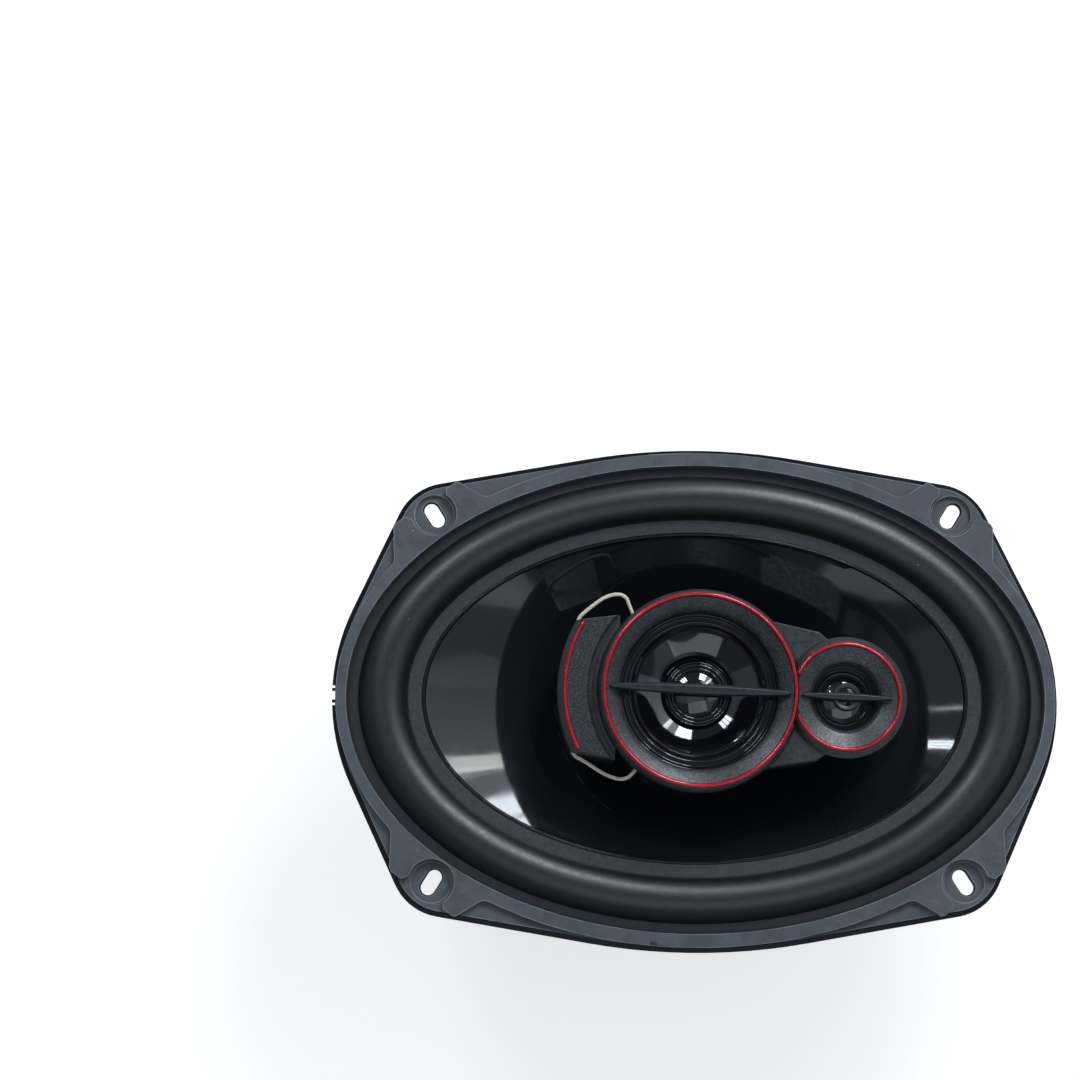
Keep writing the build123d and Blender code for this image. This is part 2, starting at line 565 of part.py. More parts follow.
def cap(r_base, height, z, skin, at=(0.0, 0.0)):
    """A thin spherical cap."""
    big = (r_base**2 + height**2) / (2 * height)
    ball = Pos(at[0], at[1], z + height - big) * (Sphere(big) - Sphere(big - skin))
    return ball & ring(r_base, z, z + height + 1, at=at)


def mid_dome():
    z = 88.0
    return cap(7.5, 3.4, z + 0.4, 0.35) + turned([(7.0, z), (MID_FORMER_R[1], z), (MID_FORMER_R[1], z + 0.4),
                                                (7.0, z + 0.4)])


# ---------------------------------------------------------------- tweeter driver
def tweeter_yoke():
    z = TWEETER_FLOOR + WALL
    return turned([(0, z), (9.5, z), (10.0, z + 0.5), (10.0, 90.5), (7.75, 90.5), (7.75, z + 1.6),
                   (0, z + 1.6)], (TWEETER_X, 0.0))


def tweeter_frame():
    z = TWEETER_FRAME_Z
    return turned([(8.6, 90.5), (15.7, 90.5), (15.7, z), (8.6, z)], (TWEETER_X, 0.0))


def tweeter_surround():
    lower = [(7.35, 0), (8.0, 0.5), (8.7, 0.5), (9.4, 0), (11.2, 0)]
    return turned([(r, TWEETER_FRAME_Z + z) for r, z in lower]
                  + [(r, TWEETER_FRAME_Z + z + 0.2) for r, z in reversed(lower)], (TWEETER_X, 0.0))


def tweeter_bar():
    """The bar over the tweeter, with the small ring it holds in front of the dome."""
    bar = cross_bar(TWEETER_BAR, TWEETER_X, TWEETER_TOP - 2.2, TWEETER_TOP + 0.1)
    top = TWEETER_TOP - 1.0
    return bar + turned([(2.8, top - 1.6), (4.4, top - 2.0), (4.6, top - 1.6), (4.5, top - 0.4), (4.1, top),
                         (3.1, top - 0.2), (2.8, top - 0.6)], (TWEETER_X, 0.0))


# ---------------------------------------------------------------- write every node
def write_woofer():
    save("basket", basket())
    save("front_gasket", gasket())
    save("yoke", yoke())
    save("magnet", magnet())
    save("top_plate", top_plate())
    save("basket_stakes", stakes())
    save("post_screw", pan_screw(4.6, 2.6, 1.98, 18.0, 3.5, down=False))
    save("centre_post", centre_post())
    save("spider", spider())
    save("surround", surround())
    save("cone", cone())
    save("voice_coil_former", ring(FORMER_OUT_R, 20.0, NECK_Z + 1.5, FORMER_R))
    save("voice_coil_winding", ring(COIL_OUT_R, 20.5, 33.5, FORMER_OUT_R))
    save("terminal_board", terminal_board())
    save("board_rivets", board_rivets())
    save("terminal_tab_wide", terminal_tab(TAB_Y[0], 4.8))
    save("terminal_tab_narrow", terminal_tab(TAB_Y[1], 2.8))


def write_module():
    at = (TWEETER_X, 0.0)
    low, high = MID_FORMER_R
    mid = mid_bezel()
    tweeter = tweeter_bezel()
    parts = {
        "module_housing": module_housing(),
        "module_screw": pan_screw(4.4, 2.2, 1.48, 9.0, HOUSING_FLOOR + WALL, down=True),
        "wing_cover": wing_cover(),
        "wing_trim": wing_trim(),
        "crossover_capacitors": capacitors(),
        "mid_bezel": mid,
        "mid_trim_ring": trim_ring(MID_TRIM_R, MID_TOP),
        "mid_bar": cross_bar(MID_BAR, 0.0, MID_TOP - 2.2, MID_TOP + 0.1) - mid,
        "tweeter_bezel": tweeter,
        "tweeter_trim_ring": tweeter_trim(),
        "tweeter_bar": tweeter_bar() - tweeter,
        "mid_yoke": mid_yoke(),
        "mid_magnet": ring(8.6, 77.8, 82.0),
        "mid_pole_plate": ring(9.3, 82.0, 84.0),
        "mid_frame": mid_frame(),
        "mid_surround": mid_surround(),
        "mid_cone": mid_cone(),
        "mid_dome": mid_dome(),
        "mid_coil_former": ring(high, 80.0, 88.0, low),
        "mid_coil_winding": ring(high + 0.6, 80.4, 85.4, high),
        "tweeter_yoke": tweeter_yoke(),
        "tweeter_magnet": ring(6.0, TWEETER_FLOOR + WALL + 1.6, 88.3, at=at),
        "tweeter_pole_plate": ring(6.4, 88.3, 90.3, at=at),
        "tweeter_frame": tweeter_frame(),
        "tweeter_surround": tweeter_surround(),
        "tweeter_dome": cap(7.35, 2.6, TWEETER_FRAME_Z + 0.2, 0.25, at),
        "tweeter_coil": ring(7.3, 87.5, TWEETER_FRAME_Z + 0.2, 6.75, at=at),
        "lead_wire_upper": lead(LEADS[0]),
        "lead_wire_lower": lead(LEADS[1]),
    }
    for name, shape in parts.items():
        save(name, shape, module=True)


write_woofer()
write_module()
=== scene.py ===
import math

import bmesh
import bpy
from mathutils import Matrix, Vector


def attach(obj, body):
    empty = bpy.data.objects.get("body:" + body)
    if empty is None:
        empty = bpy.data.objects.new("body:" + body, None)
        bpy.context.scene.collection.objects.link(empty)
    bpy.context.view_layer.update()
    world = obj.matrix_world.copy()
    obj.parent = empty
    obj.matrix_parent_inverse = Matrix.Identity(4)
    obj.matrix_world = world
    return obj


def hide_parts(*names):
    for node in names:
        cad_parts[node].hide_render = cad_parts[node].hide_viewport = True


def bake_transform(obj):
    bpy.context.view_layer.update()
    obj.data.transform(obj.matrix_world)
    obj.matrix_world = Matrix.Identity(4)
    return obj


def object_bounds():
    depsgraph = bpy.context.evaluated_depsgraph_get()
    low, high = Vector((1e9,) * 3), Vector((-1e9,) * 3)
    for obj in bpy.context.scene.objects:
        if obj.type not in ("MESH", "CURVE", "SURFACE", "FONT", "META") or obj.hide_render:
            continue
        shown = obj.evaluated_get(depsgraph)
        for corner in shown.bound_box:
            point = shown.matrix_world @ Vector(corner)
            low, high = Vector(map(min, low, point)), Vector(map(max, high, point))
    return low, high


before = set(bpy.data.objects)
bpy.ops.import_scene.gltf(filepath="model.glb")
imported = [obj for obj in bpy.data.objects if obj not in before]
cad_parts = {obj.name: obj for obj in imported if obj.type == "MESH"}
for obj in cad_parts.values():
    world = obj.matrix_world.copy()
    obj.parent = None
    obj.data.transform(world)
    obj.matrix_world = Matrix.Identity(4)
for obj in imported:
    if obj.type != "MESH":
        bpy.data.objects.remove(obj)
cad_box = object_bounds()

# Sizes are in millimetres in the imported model's frame, and meshes are written in metres.
MM = 0.001
SEGMENTS = 256
OVAL_SEGMENTS = 384

# camera's place and aim in metres, and its focal length in millimetres
CAMERA_AT = (-0.0581, -0.0763, 0.7702)
CAMERA_AIM = (-0.0506, 0.0517, 0.0820)
CAMERA_LENS = 70.65

# woofer's face: ovals are (half x, half y)
LIP_TOP = 82.0                       # top of the surround's flat lips
LIP = 0.8
LIP_FALL = 0.45                      # how far the inner lip thins towards the cone
ROLL_OUTER = (109.8, 73.2)
ROLL_INNER = (93.6, 58.4)
SURROUND_OUTER = (115.0, 77.7)
SURROUND_INNER = (89.2, 54.4)
ROLL_HEIGHT = 5.5
ROLL_EASE = 1.35                     # above 1, the roll's feet run smoothly into the lips
CONE_RIM = (88.6, 53.8)
CONE_RIM_Z = 81.2
NECK_R = 13.6
NECK_Z = 51.0
FORMER_OUT_R = 13.05
SPIDER_Z = 42.5                      # top of the spider's flat rim
SPIDER_THICK = 0.5
SPIDER_R = 50.0
SPIDER_HELD_R = 41.5                 # outside this radius it is glued down
SPIDER_WAVES = 5
SPIDER_WAVES_R = (17.0, 39.5)
SPIDER_WAVE_HEIGHT = 1.4

# tweeter module, drawn along X and turned about the midrange's axis
MODULE_TURN = Matrix.Rotation(math.radians(-2.6), 4, "Z")
MID_TOP = 103.0
MID_TRIM_R = (29.8, 31.1)
MID_BAR = (57.4, 3.5, 1.5)           # length, width in the middle, width at the ends
MID_SURROUND_Z = 94.5
MID_CAP_Z = 89.2
TWEETER_AT = (46.8, 0.0)
TWEETER_TOP = 101.2
TWEETER_TRIM_R = (16.2, 17.4)
TWEETER_TRIM_HALF_DEG = 158.0        # the arc's half span, away from the midrange
TWEETER_BAR = (28.5, 2.5, 0.9)
TWEETER_FRAME_Z = 91.9
TWEETER_DOME_R = 7.35
WING_TOP = 98.9
WING_TRIM_R = (42.2, 43.5)
WING_TRIM_HALF_DEG = 28.4
TRIM_PROUD = 0.15                    # how far the red rings and the bars stand above the bezels
BAR_PROUD = 0.1
LEAD_DIAMETER = 0.0011               # in metres

# the lead wires' routes, in metres, before the module's turn
LEADS = {
    "upper": [(-0.0397, 0.0163, 0.0914), (-0.0402, 0.0219, 0.0908), (-0.0360, 0.0260, 0.0904),
              (-0.0303, 0.0306, 0.0906), (-0.0243, 0.0313, 0.0907), (-0.0223, 0.0256, 0.0901),
              (-0.0193, 0.0207, 0.0897)],
    "lower": [(-0.0386, -0.0145, 0.0926), (-0.0410, -0.0210, 0.0920), (-0.0346, -0.0240, 0.0912),
              (-0.0292, -0.0274, 0.0906), (-0.0223, -0.0293, 0.0903), (-0.0184, -0.0250, 0.0900),
              (-0.0158, -0.0204, 0.0898)],
}


# ---------------------------------------------------------------- camera
def aimed(obj, place, target, up):
    """Puts an object at a place in metres, looking at a target."""
    ahead = (Vector(target) - Vector(place)).normalized()
    right = ahead.cross(Vector(up)).normalized()
    turn = Matrix((right, right.cross(ahead), -ahead)).transposed()
    obj.matrix_world = Matrix.Translation(place) @ turn.to_4x4()
    bpy.context.scene.collection.objects.link(obj)


def add_camera():
    data = bpy.data.cameras.new("camera")
    data.sensor_width = 36.0
    data.lens = CAMERA_LENS
    data.clip_start = 0.01
    camera = bpy.data.objects.new("camera", data)
    aimed(camera, CAMERA_AT, CAMERA_AIM, (0, 1, 0))
    bpy.context.scene.camera = camera


# ---------------------------------------------------------------- materials
LOOKS = {}


class Look:
    """A procedural material for one of the record's material slots."""

    def __init__(self, slot, color, roughness, **sockets):
        self.material = bpy.data.materials.new("look_" + slot)
        self.material.use_nodes = True
        self.tree = self.material.node_tree
        self.shader = self.tree.nodes["Principled BSDF"]
        self.set("Base Color", (*color, 1.0))
        self.set("Roughness", roughness)
        for name, value in sockets.items():
            self.set(name.replace("_", " ").title().replace("Ior", "IOR"), value)
        self.place = self.node("ShaderNodeTexCoord").outputs["Object"]
        self.height = None
        self.color = None
        self.base = color
        LOOKS[slot] = self.material

    def set(self, socket, value):
        if isinstance(value, bpy.types.NodeSocket):
            self.tree.links.new(value, self.shader.inputs[socket])
        else:
            self.shader.inputs[socket].default_value = value

    def node(self, kind, settings=(), **inputs):
        """Adds a node. Its inputs are given by name, or by number after an underscore."""
        made = self.tree.nodes.new(kind)
        for name, value in dict(settings).items():
            setattr(made, name, value)
        for name, value in inputs.items():
            socket = made.inputs[int(name[1:]) if name[0] == "_" else name]
            if isinstance(value, bpy.types.NodeSocket):
                self.tree.links.new(value, socket)
            else:
                socket.default_value = value
        return made

    def noise(self, scale, detail=3.0, stretch=(1.0, 1.0, 1.0)):
        where = self.node("ShaderNodeMapping", Vector=self.place, Scale=stretch).outputs[0]
        return self.node("ShaderNodeTexNoise", Vector=where, Scale=scale, Detail=detail).outputs[0]

    def rings(self, across, scale, detail):
        """Fine uneven rings round an upright axis. across is the distance from it."""
        return self.node("ShaderNodeTexNoise", {"noise_dimensions": "1D"}, W=across, Scale=scale,
                         Detail=detail).outputs[0]

    def span(self, value, low, high, to_low=0.0, to_high=1.0):
        """Value's stretch from low to high, brought to another range."""
        made = self.node("ShaderNodeMapRange", _0=value, _1=low, _2=high, _3=to_low, _4=to_high)
        return made.outputs[0]

    def calc(self, operation, a, b=0.0):
        return self.node("ShaderNodeMath", {"operation": operation}, _0=a, _1=b).outputs[0]

    def tint(self, share, color):
        """Mixes a colour over what is there, by share from 0 to 1."""
        under = (*self.base, 1.0) if self.color is None else self.color
        mixed = self.node("ShaderNodeMix", {"data_type": "RGBA"}, _0=share, _6=under, _7=(*color, 1.0))
        self.color = mixed.outputs[2]
        self.set("Base Color", self.color)

    def bump(self, height, depth, strength=1.0):
        """Adds relief. depth is in metres."""
        made = self.node("ShaderNodeBump", Height=height, Distance=depth, Strength=strength)
        if self.height is not None:
            self.tree.links.new(self.height, made.inputs["Normal"])
        self.height = made.outputs[0]
        self.set("Normal", self.height)

    def rough(self, scale, low, high, **more):
        self.set("Roughness", self.span(self.noise(scale, **more), 0.35, 0.65, low, high))

    def dust(self, scale, size, share, color=(0.32, 0.31, 0.29)):
        """Sparse specks: share of the cells, each speck up to size of a cell."""
        cells = self.node("ShaderNodeTexVoronoi", Vector=self.place, Scale=scale)
        pick = self.node("ShaderNodeSeparateColor", _0=cells.outputs["Color"]).outputs
        limit = self.calc("MULTIPLY", self.span(pick[0], 1.0 - share, 1.0), size)
        self.tint(self.calc("LESS_THAN", cells.outputs["Distance"], limit), color)

    def worn_and_highlit_edges(self, width):
        """1 on the edges, falling to 0 a width away from them, in metres: the mask for edge wear and a
        painted edge highlight.
        """
        eased = self.node("ShaderNodeBevel", {"samples": 8}, Radius=width).outputs[0]
        facing = self.node("ShaderNodeNewGeometry").outputs["Normal"]
        agree = self.node("ShaderNodeVectorMath", {"operation": "DOT_PRODUCT"}, _0=eased, _1=facing)
        return self.span(agree.outputs["Value"], 0.99, 0.90)

    def oval(self, half, at=(0.0, 0.0)):
        """Distance from an upright axis, as a share of an oval's half sizes in metres."""
        scale = (1 / half[0], 1 / half[1], 0.0)
        place = (-at[0] * scale[0], -at[1] * scale[1], 0.0)
        flat = self.node("ShaderNodeMapping", Vector=self.place, Location=place, Scale=scale).outputs[0]
        return self.node("ShaderNodeVectorMath", {"operation": "LENGTH"}, _0=flat).outputs["Value"]


def paint_look():
    look = Look("black_painted_steel", (0.0035, 0.0035, 0.004), 0.24)
    look.tint(look.span(look.noise(35), 0.4, 0.7), (0.010, 0.010, 0.012))
    look.rough(60, 0.18, 0.30)
    look.bump(look.noise(700), 0.00006, 0.5)
    look.tint(look.span(look.noise(160, 6, (1, 9, 1)), 0.74, 0.78, 0.0, 0.4), (0.05, 0.05, 0.055))


def gasket_look():
    look = Look("gasket_rubber", (0.096, 0.106, 0.120), 0.72, specular_ior_level=0.4)
    look.tint(look.span(look.noise(22, 5), 0.35, 0.7), (0.122, 0.134, 0.150))
    look.tint(look.span(look.noise(160, 7), 0.48, 0.62, 0.0, 0.45), (0.060, 0.065, 0.070))
    look.tint(look.span(look.noise(2600, 2), 0.45, 0.75, 0.0, 0.5), (0.052, 0.057, 0.062))
    look.tint(look.span(look.noise(240, 8, (1, 3, 1)), 0.63, 0.70, 0.0, 0.5), (0.15, 0.16, 0.16))
    # a chip out of the skin near the middle of the -Y side
    chip_half, chip_at = (0.0045, 0.0022), (-0.013, -0.081)
    uneven = look.span(look.noise(420, 5), 0.3, 0.7, -0.45, 0.45)
    ragged = look.calc("ADD", look.oval(chip_half, chip_at), uneven)
    look.tint(look.span(ragged, 0.85, 1.0, 0.85, 0.0), (0.022, 0.024, 0.028))
    # moulded edges painted pale, partly rubbed wear and partly a painted highlight along them, broken up here
    # and there
    rubbed_and_highlit = look.span(look.noise(70, 6), 0.40, 0.56, 0.25, 1.0)
    look.tint(look.calc("MULTIPLY", look.worn_and_highlit_edges(0.0005), rubbed_and_highlit), (0.34, 0.36, 0.37))
    look.bump(look.noise(2200, 4), 0.00005, 0.6)
    look.bump(look.noise(60, 4), 0.0004, 0.25)
    look.dust(260, 0.11, 0.10)


def surround_look():
    look = Look("surround_rubber", (0.0035, 0.004, 0.005), 0.40, specular_ior_level=0.85)
    look.rough(700, 0.37, 0.45, detail=5)
    look.tint(look.span(look.noise(30, 5), 0.4, 0.75, 0.0, 0.7), (0.0055, 0.006, 0.0075))
    look.bump(look.noise(1700, 3), 0.00006, 0.6)
    # the inner lip is drier and paler than the roll
    inside = look.span(look.oval([half * MM for half in ROLL_INNER]), 1.012, 0.992)
    dry = look.calc("MULTIPLY", inside, look.span(look.noise(1500, 4), 0.35, 0.65, 0.3, 1.0))
    look.tint(dry, (0.034, 0.038, 0.046))
    look.dust(150, 0.035, 0.10)
    look.dust(420, 0.06, 0.05, (0.16, 0.16, 0.16))


def cone_look():
    look = Look("cone_gloss", (0.0095, 0.0108, 0.0130), 0.07, specular_ior_level=0.6)
    look.rough(120, 0.045, 0.10, detail=6)
    look.bump(look.noise(28, 2), 0.00035, 0.12)
    across = look.oval((1.0, 1.0))
    look.bump(look.rings(across, 2600, 3), 0.00001, 0.10)
    # a hairline left by a round tool, broken up along its length
    hairline_r, hairline_half = 0.0455, 0.00008
    away = look.calc("ABSOLUTE", look.calc("SUBTRACT", across, hairline_r))
    near = look.calc("LESS_THAN", away, hairline_half)
    x = look.node("ShaderNodeSeparateXYZ", _0=look.place).outputs[0]
    broken = look.calc("MULTIPLY", look.span(x, -0.012, -0.03), look.span(look.noise(300, 5), 0.45, 0.75))
    look.tint(look.calc("MULTIPLY", near, broken), (0.10, 0.10, 0.10))
    look.dust(110, 0.030, 0.16)
    look.dust(320, 0.05, 0.04, (0.16, 0.16, 0.17))


def charcoal_look():
    look = Look("charcoal_plastic", (0.024, 0.025, 0.029), 0.42, metallic=0.35, specular_ior_level=0.8)
    look.tint(look.span(look.noise(2100, 2), 0.46, 0.68), (0.095, 0.10, 0.112))
    look.tint(look.span(look.noise(4300, 1), 0.30, 0.42, 0.8, 0.0), (0.007, 0.007, 0.009))
    look.rough(1800, 0.32, 0.48)
    look.bump(look.noise(2600, 3), 0.00004, 0.8)
    look.dust(330, 0.07, 0.05)


def red_look():
    look = Look("red_metallic", (0.70, 0.010, 0.030), 0.24, metallic=0.55, specular_ior_level=0.6,
                coat_weight=0.8, coat_roughness=0.10)
    look.tint(look.span(look.noise(600, 4), 0.4, 0.8), (0.50, 0.005, 0.018))
    look.rough(500, 0.20, 0.28)
    look.bump(look.noise(3000, 2), 0.000004, 0.2)


def bar_look():
    look = Look("bar_plastic", (0.014, 0.017, 0.023), 0.34, specular_ior_level=0.6)
    look.tint(look.span(look.noise(1500, 3), 0.4, 0.7), (0.022, 0.026, 0.034))
    look.rough(700, 0.28, 0.42)
    look.bump(look.noise(1600, 3), 0.00002, 0.5)


def housing_look():
    look = Look("housing_plastic", (0.016, 0.017, 0.020), 0.40, specular_ior_level=0.75)
    look.tint(look.span(look.noise(300, 4), 0.4, 0.7), (0.026, 0.027, 0.032))
    look.rough(800, 0.34, 0.52)
    look.bump(look.noise(2400, 3), 0.00005, 0.6)
    look.dust(240, 0.05, 0.06)


def gloss_film(slot, color, scale):
    look = Look(slot, color, 0.05, specular_ior_level=0.8, coat_weight=0.6, coat_roughness=0.02)
    look.rough(scale, 0.03, 0.07, detail=5)
    look.bump(look.noise(70, 2), 0.00004, 0.05)
    look.dust(420, 0.045, 0.05)


def metal_look(slot, color, low, high, lathe_marks=True):
    look = Look(slot, color, low, metallic=1.0)
    look.tint(look.span(look.noise(70, 5), 0.4, 0.75, 0.0, 0.6), tuple(c * 0.72 for c in color))
    look.rough(400, low, high, detail=6)
    if lathe_marks:
        look.bump(look.rings(look.oval((1.0, 1.0)), 5200, 4), 0.00002, 0.6)
    look.bump(look.noise(1800, 3), 0.00002, 0.4)


def ferrite_look():
    look = Look("ferrite", (0.035, 0.035, 0.038), 0.66)
    look.tint(look.span(look.noise(1300, 5), 0.4, 0.7), (0.060, 0.060, 0.063))
    look.tint(look.span(look.noise(60, 6), 0.64, 0.70, 0.0, 0.6), (0.10, 0.10, 0.10))
    look.bump(look.noise(900, 6), 0.00012, 0.7)


def board_look():
    look = Look("terminal_board_plastic", (0.020, 0.018, 0.016), 0.55)
    look.tint(look.span(look.noise(900, 5, (1, 8, 1)), 0.4, 0.7), (0.040, 0.034, 0.028))
    look.rough(500, 0.48, 0.66)
    look.bump(look.noise(1600, 3, (1, 6, 1)), 0.00005, 0.6)


def sleeve_look():
    look = Look("capacitor_sleeve", (0.012, 0.014, 0.030), 0.22, coat_weight=0.4)
    look.tint(look.span(look.noise(200, 4), 0.45, 0.7), (0.020, 0.022, 0.042))
    look.bump(look.noise(300, 3), 0.00008, 0.4)


def lead_look():
    look = Look("lead_braid", (0.94, 0.87, 0.74), 0.72, sheen_weight=0.3)
    look.tint(look.span(look.noise(900, 5), 0.45, 0.7), (0.74, 0.66, 0.53))
    look.tint(look.span(look.noise(3500, 3), 0.62, 0.75), (0.96, 0.93, 0.86))
    look.bump(look.noise(5200, 3), 0.00006, 0.8)


def winding_look():
    look = Look("copper_winding", (0.62, 0.24, 0.09), 0.28, metallic=1.0, coat_weight=0.5)
    height = look.node("ShaderNodeSeparateXYZ", _0=look.place).outputs[2]
    wire = 0.0003
    turns = look.calc("SINE", look.calc("MULTIPLY", height, 2 * math.pi / wire))
    # painted shade: darker in the grooves between the wire's turns
    look.tint(look.span(turns, -1.0, -0.2, 0.8, 0.0), (0.20, 0.06, 0.02))
    look.bump(turns, 0.00006, 0.8)


def cloth_look():
    look = Look("spider_cloth", (0.34, 0.23, 0.10), 0.80, sheen_weight=0.25)
    parts = look.node("ShaderNodeSeparateXYZ", _0=look.place).outputs
    thread = 0.0009
    warp, weft = (look.calc("SINE", look.calc("MULTIPLY", part, 2 * math.pi / thread)) for part in parts[:2])
    weave = look.calc("MULTIPLY", warp, weft)
    look.tint(look.span(weave, -0.6, 0.9), (0.46, 0.34, 0.17))
    look.tint(look.span(look.noise(50, 5), 0.45, 0.8, 0.0, 0.6), (0.22, 0.14, 0.06))
    look.bump(weave, 0.00012, 0.8)


def make_looks():
    paint_look()
    gasket_look()
    surround_look()
    cone_look()
    charcoal_look()
    red_look()
    bar_look()
    housing_look()
    ferrite_look()
    board_look()
    sleeve_look()
    lead_look()
    winding_look()
    cloth_look()
    gloss_film("mid_cone_gloss", (0.005, 0.005, 0.006), 300)
    gloss_film("mid_surround_film", (0.008, 0.008, 0.009), 500)
    gloss_film("tweeter_dome_film", (0.010, 0.011, 0.014), 500)
    metal_look("zinc_steel", (0.56, 0.56, 0.55), 0.26, 0.44)
    metal_look("post_aluminium", (0.62, 0.62, 0.62), 0.30, 0.44)
    metal_look("former_aluminium", (0.55, 0.55, 0.54), 0.34, 0.46, lathe_marks=False)
    metal_look("brass_rivet", (0.70, 0.52, 0.24), 0.28, 0.44, lathe_marks=False)
    metal_look("tinned_brass", (0.68, 0.66, 0.60), 0.26, 0.40, lathe_marks=False)


# ---------------------------------------------------------------- mesh helpers
def piece(name, mesh, slot, body=None, stands_for=(), module=False, sharp=35.0):
    """Makes an object of a mesh, with its slot's look, riding a body and standing for CAD nodes."""
    if module:
        mesh.transform(MODULE_TURN)
    mesh.shade_smooth()
    mesh.set_sharp_from_angle(angle=math.radians(sharp))
    mesh.materials.append(LOOKS[slot])
    obj = bpy.data.objects.new(name, mesh)
    bpy.context.scene.collection.objects.link(obj)
    if body:
        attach(obj, body)
    if stands_for:
        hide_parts(*stands_for)
    return obj


def mesh_of(verts, faces, weld=1e-7):
    """A mesh in metres from points in millimetres, welded and turned outward."""
    mesh = bpy.data.meshes.new("mesh")
    mesh.from_pydata([Vector(v) * MM for v in verts], [], faces)
    made = bmesh.new()
    made.from_mesh(mesh)
    bmesh.ops.remove_doubles(made, verts=made.verts, dist=weld)
    bmesh.ops.recalc_face_normals(made, faces=made.faces)
    made.to_mesh(mesh)
    made.free()
    return mesh


def skinned(rows, looped=False):
    """Points and faces of a tube through rows of points. It is closed in a loop, or capped at both ends."""
    count = len(rows[0])
    verts = [point for row in rows for point in row]
    faces = []
    for i in range(len(rows) if looped else len(rows) - 1):
        a, b = i * count, (i + 1) % len(rows) * count
        for k in range(count):
            m = (k + 1) % count
            faces.append((a + k, a + m, b + m, b + k))
    if not looped:
        faces += [tuple(range(count)), tuple(range(len(verts) - count, len(verts)))]
    return verts, faces


def swept(section, at=(0.0, 0.0), segments=SEGMENTS):
    """A closed section of (half x, half y, height) points carried round an upright axis."""
    turns = [2 * math.pi * k / segments for k in range(segments)]
    rows = []
    for a, b, z in section:
        rows.append([(at[0] + a * math.cos(turn), at[1] + b * math.sin(turn), z) for turn in turns])
    return mesh_of(*skinned(rows, looped=True))


def turned(profile, **more):
    """A (radius, height) profile turned about an upright axis."""
    return swept([(r, r, z) for r, z in profile], **more)


def rounded(points, radius, closed=True):
    """The points with their corners rounded. radius is one size, or a dict of point number to size."""
    steps = 4
    out = []
    for i, here in enumerate(points):
        size = radius.get(i, 0.0) if isinstance(radius, dict) else radius
        if size == 0 or (not closed and i in (0, len(points) - 1)):
            out.append(tuple(here))
            continue
        here = Vector(here)
        back, ahead = Vector(points[i - 1]) - here, Vector(points[(i + 1) % len(points)]) - here
        a = here + back.normalized() * min(size, 0.45 * back.length)
        b = here + ahead.normalized() * min(size, 0.45 * ahead.length)
        for s in range(steps + 1):
            t = s / steps
            out.append(tuple(a * (1 - t) ** 2 + here * 2 * t * (1 - t) + b * t * t))
    return out


def softened(node, width):
    """A copy of a chassis CAD node with its flat faces joined up and its edges rounded."""
    flat_angle, corner_angle = math.radians(0.6), math.radians(30)
    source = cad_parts[node]
    mesh = source.data.copy()
    mesh.materials.clear()
    made = bmesh.new()
    made.from_mesh(mesh)
    bmesh.ops.remove_doubles(made, verts=made.verts, dist=1e-6)
    bmesh.ops.dissolve_limit(made, angle_limit=flat_angle, verts=made.verts, edges=made.edges)
    sharp = [e for e in made.edges if len(e.link_faces) == 2 and e.calc_face_angle(0) > corner_angle]
    bmesh.ops.bevel(made, geom=sharp, offset=width * MM, segments=2, profile=0.5, affect="EDGES",
                    clamp_overlap=True)
    made.to_mesh(mesh)
    made.free()
    if "custom_normal" in mesh.attributes:
        mesh.attributes.remove(mesh.attributes["custom_normal"])
    slot = source.data.materials[0].name
    obj = piece(node + "_finished", mesh, slot, "chassis", (node,), sharp=80.0)
    level = obj.modifiers.new("level_faces", "WEIGHTED_NORMAL")
    level.keep_sharp = True
    return obj


def stretched(obj, share):
    """Bakes a ring's place into its mesh and works out, by share, how far across it each point lies, from 0
    to 1; the shares are not stored.
    """
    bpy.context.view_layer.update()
    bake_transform(obj)
    for vertex in obj.data.vertices:
        t = min(1.0, max(0.0, share(vertex.co / MM)))


def between_radii(held, free, centre=(0.0, 0.0)):
    """How far across a ring a point lies: 0 at the radius where it is held, and 1 where it moves."""
    return lambda co: (held - math.hypot(co.x - centre[0], co.y - centre[1])) / (held - free)


# ---------------------------------------------------------------- woofer's face
def across_roll(share):
    """Half axes of the oval a share of the way in over the roll."""
    return tuple(o + (i - o) * share for o, i in zip(ROLL_OUTER, ROLL_INNER))


def roll_line(height, base, margin):
    """The roll's line from its outer edge to its inner one. margin is the share left out at each edge."""
    steps = 36
    line = []
    for k in range(steps + 1):
        turn = math.pi * k / steps
        share = 0.5 - (0.5 - margin) * math.cos(turn)
        line.append((*across_roll(share), base + height * math.sin(turn) ** ROLL_EASE))
    return line


def surround():
    top = roll_line(ROLL_HEIGHT, LIP_TOP, 0.0)
    under = roll_line(ROLL_HEIGHT, LIP_TOP - LIP, LIP / (ROLL_OUTER[0] - ROLL_INNER[0]))
    over = [(*SURROUND_OUTER, LIP_TOP)] + top + [(*SURROUND_INNER, LIP_TOP - LIP_FALL)]
    below = [(*SURROUND_OUTER, LIP_TOP - LIP)] + under + [(*SURROUND_INNER, LIP_TOP - LIP)]
    obj = piece("surround_rubber", swept(over + below[::-1], segments=OVAL_SEGMENTS), "surround_rubber",
                stands_for=("surround",), sharp=50.0)

    def inward(co):
        """0 at the roll's outer edge and 1 at its inner edge."""
        turn = math.atan2(co.y / ROLL_OUTER[1], co.x / ROLL_OUTER[0])
        outer, inner = (math.hypot(oval[0] * math.cos(turn), oval[1] * math.sin(turn))
                        for oval in (ROLL_OUTER, ROLL_INNER))
        return (outer - math.hypot(co.x, co.y)) / (outer - inner)

    stretched(obj, inward)


def grown(oval, by):
    """An oval's half sizes with the same amount added to both."""
    return tuple(half + by for half in oval)


